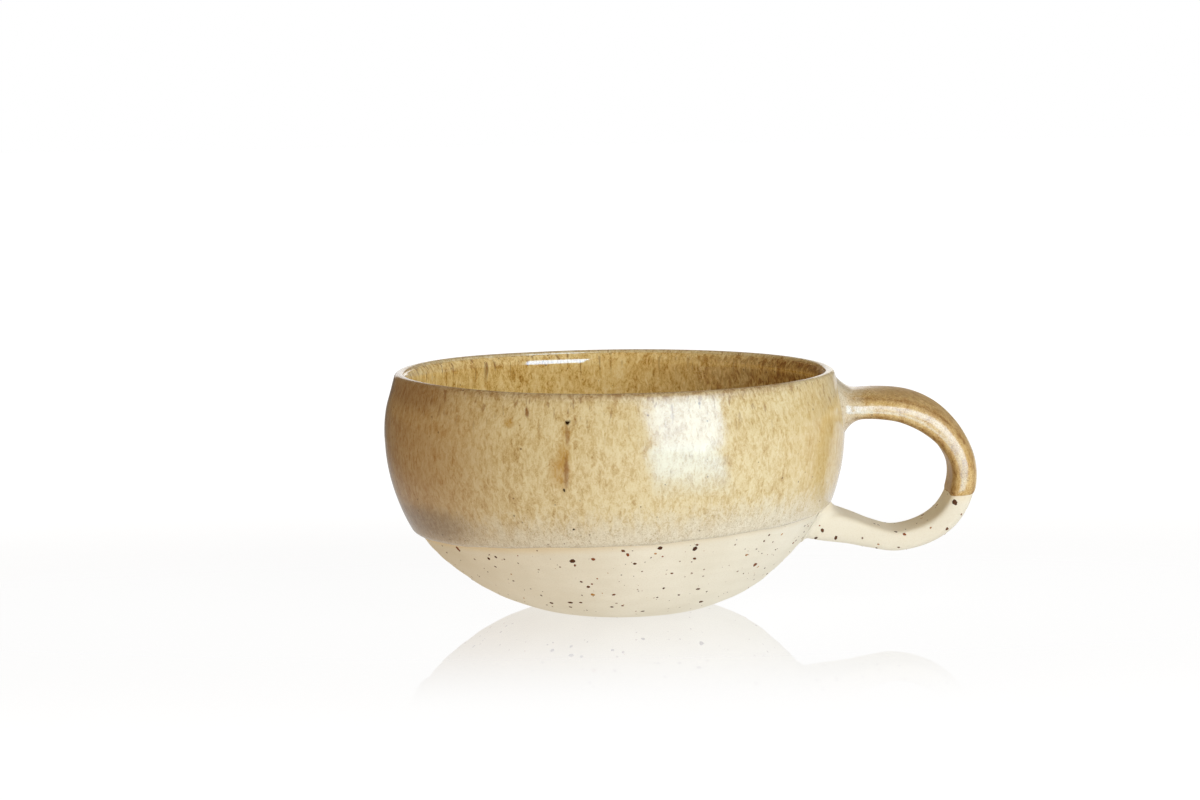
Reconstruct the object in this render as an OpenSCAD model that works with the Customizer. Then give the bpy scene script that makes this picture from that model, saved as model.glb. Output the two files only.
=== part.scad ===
// Hand-thrown stoneware cappuccino cup with a pulled strap handle and a dipped glaze.
// Millimetres. The origin is the middle of the flat foot on the table, +Z is up along
// the bowl's axis and +X points from that axis to the handle.

/* [Bowl] */
// Outside radius of the bare clay at its widest
belly_r = 51.7; // [47:0.1:58]
// Height of the widest point above the table
belly_z = 39; // [35:0.5:43]
// Height of the clay lip above the table
lip_z = 52.5; // [51:0.1:58]
// Thickness of the clay just below the lip
lip_t = 3.2; // [2.6:0.1:4.4]
// Slope of the lip's top in degrees, down towards the inside
lip_slope = 42; // [32:1:50]
// Radius that rounds both edges of the lip
lip_edge_r = 0.9; // [0.5:0.1:1.2]
// Thickness of the clay wall at its widest
wall_t = 3.8; // [3:0.1:6]
// Thickness of the clay floor
floor_t = 4.6; // [3.4:0.1:8]
// Radius of the curve that leans the wall in towards the lip
shoulder_r = 44; // [30:0.5:70]
// Radius of the flat foot
foot_r = 22.4; // [18:0.1:27]
// Width of the trimmed bevel around the foot
bevel_w = 7.5; // [4:0.1:10]
// Height of the trimmed bevel around the foot
bevel_h = 4; // [2.4:0.1:5]

/* [Handle] */
// How far below the lip the middle of the strap leaves the bowl
upper_root_drop = 8.6; // [7:0.1:12]
// Height of the middle of the strap where it comes back to the bowl
lower_root_z = 18.4; // [14:0.1:24]
// How far the bend's centre stands out from the bowl's widest point
bend_out = 12.3; // [8:0.1:25]
// Radius of the bend along the middle of the strap
bend_r = 15; // [12:0.1:17]
// Thickness of the strap where it leaves the bowl
strap_t_upper = 5.6; // [4.5:0.1:8]
// Thickness of the strap where it comes back to the bowl
strap_t_lower = 4.7; // [3.6:0.1:7]
// Width of the strap between its two joints
strap_w = 14.5; // [10:0.5:20]
// How squarely the strap's edges are rounded: 2 is an oval, more is squarer
strap_square = 2.6; // [2:0.1:4]

/* [Joints] */
// Thickness of the slip that sticks the handle to the bowl
slip_t = 0.8; // [0.4:0.1:1.5]
// How much thicker the strap becomes at the upper joint
upper_flare_t = 6.4; // [2:0.1:8]
// How much wider the strap becomes at the upper joint
upper_flare_w = 6; // [2:0.1:9]
// How much thicker the strap becomes at the lower joint
lower_flare_t = 3.4; // [1:0.1:5]
// How much wider the strap becomes at the lower joint
lower_flare_w = 5; // [1:0.1:8]
// Length of strap over which it flares at a joint
flare_l = 9; // [6:0.5:12]

/* [Glaze] */
// Thickness of the fired glaze
glaze_t = 0.65; // [0.3:0.05:1]
// Height of the dip line at the bowl's axis
dip_z = 19.6; // [14:0.1:28]
// Slope of the dip line in degrees, higher on the handle's side
dip_tilt = 3; // [0:0.1:6]

/* [Hidden] */
$fn = 96;

clay_colour = "#e4d7bd";
slip_colour = "#d8c7a6";
glaze_colour = "#b9924f";
lining_colour = "#b08a4a";

// Degrees between the points of a round stretch of the bowl's outline
arc_step = 4;
// Points around the strap, and stretches of strap along each run and around the bend
strap_sides = 20;
run_steps = 14;
bend_steps = 24;
// Rings of strap at each joint that the bowl and its glaze are fitted to
joint_rings = 10;
// How the points along a run crowd towards its joint, where the strap flares
crowding = 1.4;
// How far the lower run keeps the direction of the bend, and of the joint, as shares of its length
lower_pull_bend = 0.4;
lower_pull_joint = 0.35;
// How fast a flare dies away along the strap
flare_power = 3;
// How deep the strap's ends start below the bowl's surface, before they are fitted to it
bury = 4.2;
// Larger than the whole cup
beyond = 2 * (belly_r + bend_out + bend_r + strap_t_upper);

// The outer wall is an arc that is upright at the belly and ends on the bevel's upper edge
bevel_reach = belly_r - foot_r - bevel_w;
wall_r = (pow(bevel_reach, 2) + pow(belly_z - bevel_h, 2)) / (2 * bevel_reach);
wall_c = [belly_r - wall_r, belly_z];
wall_low = atan2(bevel_h - belly_z, foot_r + bevel_w - wall_c.x);
// The shoulder is a tighter arc that is upright at the belly too
shoulder_c = [belly_r - shoulder_r, belly_z];
lip_angle = asin((lip_z - lip_edge_r - belly_z) / (shoulder_r - lip_edge_r));
// The lip's outer edge is round about lip_c. Its top slopes in from there until it meets the wall's
// inner face, where the inner edge is round about lip_inner_c
lip_c = polar(shoulder_c, shoulder_r - lip_edge_r, lip_angle);
lip_down = [-cos(lip_slope), -sin(lip_slope)];
lip_fall = (shoulder_c - lip_c) * lip_down;
lip_top_w = lip_fall - sqrt(pow(lip_fall, 2) - pow(shoulder_r - lip_edge_r, 2)
                            + pow(shoulder_r - lip_t + lip_edge_r, 2));
lip_inner_c = lip_c + lip_top_w * lip_down;
lip_inner_angle = atan2(lip_inner_c.y - belly_z, lip_inner_c.x - shoulder_c.x);
// Inside, a quarter circle joins the flat floor to the wall
floor_r = belly_z - floor_t;
floor_c = [belly_r - wall_t - floor_r, belly_z];

// Outlines of the bowl, as points [radius, height]

function polar(c, r, a) = c + r * [cos(a), sin(a)];

function arc(c, r, from, to) =
    let (n = ceil(abs(to - from) / arc_step))
    [for (i = [0:n]) polar(c, r, from + (to - from) * i / n)];

// The wall thins from the belly to the lip
function shoulder_wall_t(a) = wall_t + (lip_t - wall_t) * a / lip_inner_angle;

// Angles of the shoulder's points between the belly and an angle at the lip
function shoulder_angles(end) =
    let (n = ceil(end / arc_step))
    [for (i = [1:n - 1]) end * i / n];

// Foot to lip along the outside, grown outwards by grow
function outside_line(grow) = concat(
    arc(wall_c, wall_r + grow, wall_low, 0),
    [for (a = shoulder_angles(lip_angle)) polar(shoulder_c, shoulder_r + grow, a)]);

// The lip's outer edge up to its crest, and from the crest along its top to the inner edge
function lip_rise(grow) = arc(lip_c, lip_edge_r + grow, lip_angle, 90);
function lip_fall_line(grow) = concat(
    arc(lip_c, lip_edge_r + grow, 90, 90 + lip_slope),
    arc(lip_inner_c, lip_edge_r + grow, 90 + lip_slope, 180 + lip_inner_angle));

// Lip to the middle of the floor along the inside, grown inwards by grow
function inside_line(grow) = concat(
    [for (a = reversed(shoulder_angles(lip_inner_angle)))
        polar(shoulder_c, shoulder_r - shoulder_wall_t(a) - grow, a)],
    arc(floor_c, floor_r - grow, 0, -90),
    [[0, floor_t + grow]]);

function reversed(list) = [for (i = [len(list) - 1:-1:0]) list[i]];

// Radius of the bare clay outside at a height, and the direction that its surface faces
function outside_r(z) = z > belly_z
    ? shoulder_c.x + sqrt(pow(shoulder_r, 2) - pow(z - belly_z, 2))
    : wall_c.x + sqrt(pow(wall_r, 2) - pow(z - belly_z, 2));
function outside_facing(z) = z > belly_z
    ? [outside_r(z) - shoulder_c.x, z - belly_z] / shoulder_r
    : [outside_r(z) - wall_c.x, z - belly_z] / wall_r;

// Middle line of the strap, as points [x, z]

upper_root_z = lip_z - upper_root_drop;
upper_start = [outside_r(upper_root_z) - bury, upper_root_z];
// The top of the bend is level with the upper joint
bend_c = [belly_r + bend_out, upper_root_z - bend_r];
bend_start = bend_c + [0, bend_r];
bend_end = bend_c - [0, bend_r];
lower_facing = outside_facing(lower_root_z);
lower_end = [outside_r(lower_root_z), lower_root_z] - bury * lower_facing;
lower_run = norm(bend_end - lower_end);

function bezier(a, b, c, d, t) =
    pow(1 - t, 3) * a + 3 * t * pow(1 - t, 2) * b + 3 * t * t * (1 - t) * c + pow(t, 3) * d;

function crowd(t) = pow(t, crowding);

strap_path = concat(
    [for (i = [0:run_steps - 1])
        upper_start + (bend_start - upper_start) * crowd(i / run_steps)],
    [for (i = [0:bend_steps]) polar(bend_c, bend_r, 90 - 180 * i / bend_steps)],
    [for (i = [1:run_steps])
        bezier(bend_end, bend_end - [lower_pull_bend * lower_run, 0],
               lower_end + lower_pull_joint * lower_run * lower_facing, lower_end,
               1 - crowd(1 - i / run_steps))]);
last = len(strap_path) - 1;

// Distance along the strap at each point of its middle line
strap_along = [for (i = 0, s = 0; i <= last;
                    s = s + (i < last ? norm(strap_path[i + 1] - strap_path[i]) : 0), i = i + 1) s];
strap_l = strap_along[last];

function flare(distance) = pow(max(0, 1 - max(0, distance - bury) / flare_l), flare_power);

function strap_half_t(i) =
    let (share = strap_along[i] / strap_l)
    (strap_t_upper + (strap_t_lower - strap_t_upper) * share
     + upper_flare_t * flare(strap_along[i])
     + lower_flare_t * flare(strap_l - strap_along[i])) / 2;

function strap_half_w(i) =
    (strap_w + upper_flare_w * flare(strap_along[i])
     + lower_flare_w * flare(strap_l - strap_along[i])) / 2;

function strap_normal(i) =
    let (along = strap_path[min(i + 1, last)] - strap_path[max(i - 1, 0)])
    [-along.y, along.x] / norm(along);

function squared(v) = sign(v) * pow(abs(v), 2 / strap_square);

// One ring of points around the strap, grown by grow
function strap_ring(i, grow) =
    let (p = strap_path[i], n = strap_normal(i),
         half_t = strap_half_t(i) + grow, half_w = strap_half_w(i) + grow)
    [for (k = [0:strap_sides - 1])
        let (a = 360 * k / strap_sides, q = p + n * half_t * squared(cos(a)))
        [q.x, half_w * squared(sin(a)), q.y]];

// Triangles between two rings of a sweep, by the number of each ring's first point
function band(first, second) = [for (k = [0:strap_sides - 1], half = [0, 1])
    let (next = (k + 1) % strap_sides)
    half == 0 ? [first + k, first + next, second + next]
              : [first + k, second + next, second + k]];

function cap(first) = [for (k = [1:strap_sides - 2]) [first, first + k, first + k + 1]];

function flipped(faces) = [for (f = faces) reversed(f)];

function flat(lists) = [for (list = lists) for (item = list) item];

// A solid stretch of the strap from one ring to another
module strap_solid(from, to) {
    rings = to - from;
    points = flat([for (i = [from:to]) strap_ring(i, 0)]);
    faces = concat(
        flat([for (j = [0:rings - 1]) band(j * strap_sides, (j + 1) * strap_sides)]),
        flipped(cap(0)),
        cap(rings * strap_sides));
    polyhedron(points, faces);
}

// A coat of the given thickness around a stretch of the strap
module strap_coat(from, to, thick) {
    rings = to - from;
    inner = (rings + 1) * strap_sides;
    points = concat(
        flat([for (i = [from:to]) strap_ring(i, thick)]),
        flat([for (i = [from:to]) strap_ring(i, 0)]));
    faces = concat(
        flat([for (j = [0:rings - 1]) band(j * strap_sides, (j + 1) * strap_sides)]),
        flipped(flat([for (j = [0:rings - 1])
            band(inner + j * strap_sides, inner + (j + 1) * strap_sides)])),
        flipped(band(0, inner)),
        band(rings * strap_sides, inner + rings * strap_sides));
    polyhedron(points, faces);
}

module upper_stub() { strap_solid(0, joint_rings); }

module lower_stub() { strap_solid(last - joint_rings, last); }

// The bowl's outer form, filled in and grown outwards by grow
module bowl_block(grow) {
    rotate_extrude()
        polygon(concat([[0, 0]], outside_line(grow), lip_rise(grow), [[0, lip_z + grow]]));
}

// Everything above the sloping line that the cup was dipped to
module dipped_side() {
    translate([0, 0, dip_z])
        rotate([0, -dip_tilt, 0])
            translate([-beyond, -beyond, 0])
                cube(2 * beyond);
}

// Sub-parts

// The thrown clay bowl, with its trimmed foot and sloping lip
module bowl() {
    color(clay_colour)
        rotate_extrude()
            polygon(concat(
                [[0, 0], [foot_r, 0]],
                outside_line(0),
                lip_rise(0),
                lip_fall_line(0),
                inside_line(0)));
}

// The pulled strap, shaped at both ends to the slip that it sits on
module handle() {
    color(clay_colour)
        difference() {
            strap_solid(0, last);
            bowl_block(slip_t);
        }
}

module upper_slip_joint() {
    color(slip_colour)
        difference() {
            intersection() {
                upper_stub();
                bowl_block(slip_t);
            }
            bowl_block(0);
        }
}

module lower_slip_joint() {
    color(slip_colour)
        difference() {
            intersection() {
                lower_stub();
                bowl_block(slip_t);
            }
            bowl_block(0);
        }
}

// The dipped coat outside, from the crest of the lip down to the dip line
module outside_glaze() {
    color(glaze_colour)
        difference() {
            intersection() {
                rotate_extrude()
                    polygon(concat(
                        outside_line(glaze_t), lip_rise(glaze_t),
                        reversed(lip_rise(0)), reversed(outside_line(0))));
                dipped_side();
            }
            upper_stub();
            lower_stub();
        }
}

// The poured lining, from the crest of the lip to the floor
module inside_glaze() {
    color(lining_colour)
        rotate_extrude()
            polygon(concat(
                lip_fall_line(0), inside_line(0),
                reversed(inside_line(glaze_t)), reversed(lip_fall_line(glaze_t))));
}

// The dipped coat around the upper part of the strap
module handle_glaze() {
    color(glaze_colour)
        difference() {
            intersection() {
                strap_coat(0, run_steps + bend_steps, glaze_t);
                dipped_side();
            }
            bowl_block(glaze_t);
        }
}

bowl();
handle();
upper_slip_joint();
lower_slip_joint();
outside_glaze();
inside_glaze();
handle_glaze();
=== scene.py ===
"""Looks of a hand-thrown stoneware cappuccino cup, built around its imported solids.

Sizes are millimetres, but metres for the lamps and the table. The origin is the middle of the
flat foot on the table, +Z is up along the bowl's axis and +X points to the handle.
"""
import math
import random

import bmesh
import bpy
import numpy as np
from mathutils import Matrix, Vector, noise


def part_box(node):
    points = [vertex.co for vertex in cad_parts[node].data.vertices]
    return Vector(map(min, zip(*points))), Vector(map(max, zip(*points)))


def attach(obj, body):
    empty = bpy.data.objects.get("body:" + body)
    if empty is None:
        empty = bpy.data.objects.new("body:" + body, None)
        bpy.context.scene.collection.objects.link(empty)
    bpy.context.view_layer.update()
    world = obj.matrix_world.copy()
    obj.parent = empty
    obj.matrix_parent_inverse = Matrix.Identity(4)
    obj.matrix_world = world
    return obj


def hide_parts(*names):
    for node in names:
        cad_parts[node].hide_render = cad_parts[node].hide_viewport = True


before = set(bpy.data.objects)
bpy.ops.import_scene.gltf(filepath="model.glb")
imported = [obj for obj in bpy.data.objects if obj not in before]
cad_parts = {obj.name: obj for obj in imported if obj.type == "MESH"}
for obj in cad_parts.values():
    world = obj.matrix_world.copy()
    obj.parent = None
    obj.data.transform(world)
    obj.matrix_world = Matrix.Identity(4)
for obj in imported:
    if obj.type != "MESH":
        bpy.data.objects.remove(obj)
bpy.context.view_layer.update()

MM = 0.001
rng = random.Random(11)


# Driving sizes

def top_of(node, axis):
    """The highest reach of a solid along an axis, in millimetres."""
    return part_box(node)[1][axis] / MM


BELLY_R = top_of("bowl", 1)
LIP_Z = top_of("bowl", 2)
GLAZE_T = top_of("outside_glaze", 2) - LIP_Z
BELLY_Z = 39
SHOULDER_R = 44
LIP_T = 3.2
LIP_EDGE_R = 0.9
LIP_SLOPE = 42
WALL_T = 3.8
FLOOR_T = 4.6
FOOT_R = 22.4
BEVEL_W = 7.5
BEVEL_H = 4
DIP_Z = 19.6
DIP_SLOPE = math.tan(math.radians(3))

# How softly the lip's inner edge turns into the wall
LIP_SOFT = 1.3
# How softly the trimmed foot turns into the wall, and how far that draws its edge in
FOOT_SOFT = 3
FOOT_EASE = 4
# How much fuller the wall is just above the foot, around which height, and from which radius on
FOOT_FULL = 0.15
FOOT_FULL_Z = 5
FOOT_FULL_SPREAD = 4
FOOT_FULL_R = (16, 26)
# Swells that put the bowl out of round: share, count around it and turn, and where they come in
SWELLS = [(0.0016, 2, 0.7), (0.0010, 3, 2.1)]
SWELL_Z = (0, 12)
# How much taller the cup is than its solids, and the heights between which that comes in
LIFT = 1.35
LIFT_Z = (0, 9)
# Shift of the foot off the bowl's axis, towards the handle, and the heights where it fades out
FOOT_SHIFT = 2
FOOT_SHIFT_Z = (-6, 14)
# How far the lip on the left is warped up, and in, and where that comes in
LIP_WARP_UP = 0.4
LIP_WARP_IN = 0.25
WARP_Z = (42, 52)
WARP_LEFT = (15, 48)
# Distance between the points of the bowl's outline
LINE_STEP = 0.1
# How many of these points one ring of the bowl spans, outside and inside
OUTSIDE_SKIP = 5
INSIDE_SKIP = 15
# How far from the axis the line of the inside ends
AXIS_GAP = 0.02
# Points around the bowl, its glaze and the strap
BOWL_SIDES = 400
GLAZE_SIDES = 512
STRAP_SIDES = 112
# How deep the hidden face of a glaze lies in the clay, on the strap and on the bowl
BITE = 0.15
BOWL_BITE = 0.65
# How many rings of the glaze's shown face one ring of its hidden face on the bowl spans
HIDDEN_STEP = 6


# Lines of points

def polar(centre, radius, degrees):
    turn = np.radians(degrees)
    return np.asarray(centre) + radius * np.stack([np.cos(turn), np.sin(turn)], -1)


def arc(centre, radius, start, end):
    """Points along an arc, a degree or less apart."""
    return polar(centre, radius, np.linspace(start, end, int(abs(end - start)) + 2))


def lengths_along(points):
    """Distance along a line at each of its points."""
    return np.r_[0, np.cumsum(np.linalg.norm(np.diff(points, axis=0), axis=1))]


def followed(at, along, values):
    """Rows of values that belong to lengths along a line, at other lengths."""
    return np.stack([np.interp(at, along, column) for column in values.T], -1)


def spaced(points, step):
    """The same line with its points an even step apart."""
    along = lengths_along(points)
    return followed(np.linspace(0, along[-1], int(round(along[-1] / step)) + 1), along, points)


def softened(points, reach):
    """The line with its corners rounded over about the reach on both sides. Its ends stay."""
    fine = spaced(points, LINE_STEP)
    half = int(3 * reach / LINE_STEP)
    weights = np.exp(-0.5 * (np.arange(-half, half + 1) * LINE_STEP / reach) ** 2)
    weights /= weights.sum()
    before = 2 * fine[:1] - fine[half:0:-1]
    after = 2 * fine[-1:] - fine[-2:-half - 2:-1]
    long = np.concatenate([before, fine, after])
    return np.stack([np.convolve(column, weights, "valid") for column in long.T], -1)


def spline(knots, step, samples=40):
    """A smooth line through the knots, with points a step apart."""
    k = np.asarray(knots, float)
    ends = np.concatenate([[2 * k[0] - k[1]], k, [2 * k[-1] - k[-2]]])
    t = np.linspace(0, 1, samples, endpoint=False)[:, None]
    runs = []
    for a, b, c, d in zip(ends, ends[1:], ends[2:], ends[3:]):
        runs.append(0.5 * (2 * b + (c - a) * t + (2 * a - 5 * b + 4 * c - d) * t ** 2
                           + (3 * b - a - 3 * c + d) * t ** 3))
    return spaced(np.concatenate(runs + [k[-1:]]), step)


def smooth(value, low, high):
    """0 below low, 1 above high, and an even curve between them."""
    share = np.clip((value - low) / (high - low), 0, 1)
    return share * share * (3 - 2 * share)


def blurred(values, count, ends):
    """A row of values smoothed over a count of neighbours, padded at its ends in the way named."""
    window = np.hanning(count)
    return np.convolve(np.pad(values, count // 2, mode=ends), window / window.sum(), "valid")


def units(vectors):
    return vectors / np.linalg.norm(vectors, axis=-1, keepdims=True)


def left_normals(line):
    """Unit normals of a line of 2D points, on the left of its direction."""
    along = units(np.gradient(line, axis=0))
    return np.stack([-along[:, 1], along[:, 0]], -1)


# The bowl's outline, as points [radius, height]

BEVEL_REACH = BELLY_R - FOOT_R - BEVEL_W
WALL_R = (BEVEL_REACH ** 2 + (BELLY_Z - BEVEL_H) ** 2) / (2 * BEVEL_REACH)
WALL_C = np.array([BELLY_R - WALL_R, BELLY_Z])
SHOULDER_C = np.array([BELLY_R - SHOULDER_R, BELLY_Z])
WALL_LOW = -math.degrees(math.asin((BELLY_Z - BEVEL_H) / WALL_R))
LIP_ANGLE = math.degrees(math.asin((LIP_Z - LIP_EDGE_R - BELLY_Z) / (SHOULDER_R - LIP_EDGE_R)))
LIP_C = polar(SHOULDER_C, SHOULDER_R - LIP_EDGE_R, LIP_ANGLE)
# The lip's top slopes in from its outer edge until it meets the wall's inner face
LIP_DOWN = polar((0, 0), 1, 180 + LIP_SLOPE)
LIP_FALL = (SHOULDER_C - LIP_C) @ LIP_DOWN
LIP_TOP_W = LIP_FALL - math.sqrt(LIP_FALL ** 2 - (SHOULDER_R - LIP_EDGE_R) ** 2
                                 + (SHOULDER_R - LIP_T + LIP_EDGE_R) ** 2)
LIP_INNER_C = LIP_C + LIP_TOP_W * LIP_DOWN
LIP_INNER_ANGLE = math.degrees(math.atan2(*(LIP_INNER_C - SHOULDER_C)[::-1]))
FLOOR_R = BELLY_Z - FLOOR_T
FLOOR_C = np.array([BELLY_R - WALL_T - FLOOR_R, BELLY_Z])


def outside_line():
    """From the middle of the foot to the crest of the lip."""
    wall = arc(WALL_C, WALL_R, WALL_LOW, 0)
    foot = softened(np.concatenate([[[0, 0], [FOOT_R - FOOT_EASE, 0]], wall]), FOOT_SOFT)
    fuller = np.exp(-((foot[:, 1] - FOOT_FULL_Z) / FOOT_FULL_SPREAD) ** 2)
    foot[:, 0] += FOOT_FULL * fuller * smooth(foot[:, 0], *FOOT_FULL_R)
    shoulder = arc(SHOULDER_C, SHOULDER_R, 0, LIP_ANGLE)
    crest = arc(LIP_C, LIP_EDGE_R, LIP_ANGLE, 90)
    return spaced(np.concatenate([foot, shoulder[1:], crest[1:]]), LINE_STEP)


def inside_line():
    """From the crest of the lip to the middle of the floor."""
    turn = np.linspace(LIP_INNER_ANGLE, 0, 30)
    thick = WALL_T + (LIP_T - WALL_T) * turn / LIP_INNER_ANGLE
    shoulder = polar(SHOULDER_C, (SHOULDER_R - thick)[:, None], turn)
    crest = arc(LIP_C, LIP_EDGE_R, 90, 90 + LIP_SLOPE)
    edge = arc(LIP_INNER_C, LIP_EDGE_R, 90 + LIP_SLOPE, 180 + LIP_INNER_ANGLE)
    floor = arc(FLOOR_C, FLOOR_R, 0, -90)
    rest = np.concatenate([crest[-1:], edge, shoulder[1:], floor[1:], [[AXIS_GAP, FLOOR_T]]])
    return spaced(np.concatenate([crest[:-1], softened(rest, LIP_SOFT)]), LINE_STEP)


OUTSIDE = outside_line()
INSIDE = inside_line()


def radius_at(height):
    """Radius of the bowl's bare outside at a height."""
    return np.interp(height, OUTSIDE[:, 1], OUTSIDE[:, 0])


def bowl_gap(points):
    """Distance of points from the bare outside of the bowl, less than 0 inside the clay."""
    radius = np.hypot(points[..., 0], points[..., 1])
    height = points[..., 2] - BELLY_Z
    shoulder = np.hypot(radius - SHOULDER_C[0], height) - SHOULDER_R
    wall = np.hypot(radius - WALL_C[0], height) - WALL_R
    return np.where(height > 0, shoulder, wall)


def above_dip(points):
    """Height of points above the sloping line that the cup was dipped to."""
    return points[..., 2] - DIP_Z - DIP_SLOPE * points[..., 0]


# Meshes from rings of points

def uneven(points, size, seed):
    """Smooth random values from -1 to 1 at points, with bumps of the given size."""
    flat = points.reshape(-1, 3) / size + seed
    values = [noise.noise(Vector(p)) for p in flat]
    return np.array(values).reshape(points.shape[:-1])


def hand_made(points):
    """Points moved a little out of round, as a thrown bowl is."""
    x, y, height = np.moveaxis(points, -1, 0)
    turn = np.arctan2(y, x)
    swell = sum(size * np.cos(count * turn + start) for size, count, start in SWELLS)
    warp = smooth(height, *WARP_Z) * smooth(-x, *WARP_LEFT)
    moved = points.copy()
    moved[..., :2] *= (1 + swell * smooth(height, *SWELL_Z))[..., None]
    moved[..., 0] += FOOT_SHIFT * (1 - smooth(height, *FOOT_SHIFT_Z)) + LIP_WARP_IN * warp
    moved[..., 2] += LIFT * smooth(height, *LIFT_Z) + LIP_WARP_UP * warp
    return moved


def spun(flat, turn):
    """Points [radius, height] in space, each at its own angle around the Z axis."""
    radius, height = flat[..., 0], flat[..., 1]
    return np.stack([radius * np.cos(turn), radius * np.sin(turn), height + 0 * turn], -1)


def angles(sides):
    return np.linspace(0, 2 * np.pi, sides, endpoint=False)


def band_faces(rows, around, closed):
    """Quads between neighbouring rings. A closed sweep joins the last ring to the first."""
    first = np.arange(rows if closed else rows - 1)[:, None]
    second = (first + 1) % rows
    side = np.arange(around)[None, :]
    beside = (side + 1) % around
    corners = [(first, side), (first, beside), (second, beside), (second, side)]
    return np.stack([ring * around + place for ring, place in corners], -1).reshape(-1, 4)


def added(name, data):
    made = bpy.data.objects.new(name, data)
    bpy.context.scene.collection.objects.link(made)
    return made


def new_object(name, mesh, material):
    mesh.shade_smooth()
    mesh.materials.append(material)
    return added(name, mesh)


def closed_mesh(name, points, faces, marks=None):
    """A mesh with outward faces from points in millimetres, with named values at its points."""
    mesh = bpy.data.meshes.new(name)
    mesh.from_pydata((points.reshape(-1, 3) * MM).tolist(), [], faces.tolist())
    for mark, values in (marks or {}).items():
        layer = mesh.attributes.new(mark, "FLOAT", "POINT")
        layer.data.foreach_set("value", np.ascontiguousarray(values, np.float32).ravel())
    work = bmesh.new()
    work.from_mesh(mesh)
    bmesh.ops.remove_doubles(work, verts=work.verts, dist=0.001 * MM)
    bmesh.ops.recalc_face_normals(work, faces=work.faces)
    work.to_mesh(mesh)
    work.free()
    return mesh


def piece(name, rings, material, node, closed=False, marks=None):
    """A piece made of rings of points, which stands for a solid and rides on the cup."""
    faces = band_faces(rings.shape[0], rings.shape[1], closed)
    made = new_object(name, closed_mesh(name, hand_made(rings), faces, marks), material)
    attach(made, "root")
    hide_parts(node)


def coat(name, outer, inner, step, material, node, marks):
    """A glaze as one closed skin: out along its shown face, back along its hidden one in steps."""
    rings = np.concatenate([outer, inner[::-step]])
    marks = {mark: np.concatenate([values, values[::-step]]) for mark, values in marks.items()}
    piece(name, rings, material, node, True, marks)


# Materials

def srgb(red, green, blue):
    """A colour as it looks on a screen, 0 to 255, as linear values."""
    shares = [c / 255 for c in (red, green, blue)]
    linear = [s / 12.92 if s <= 0.04045 else ((s + 0.055) / 1.055) ** 2.4 for s in shares]
    return (*linear, 1)


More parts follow.
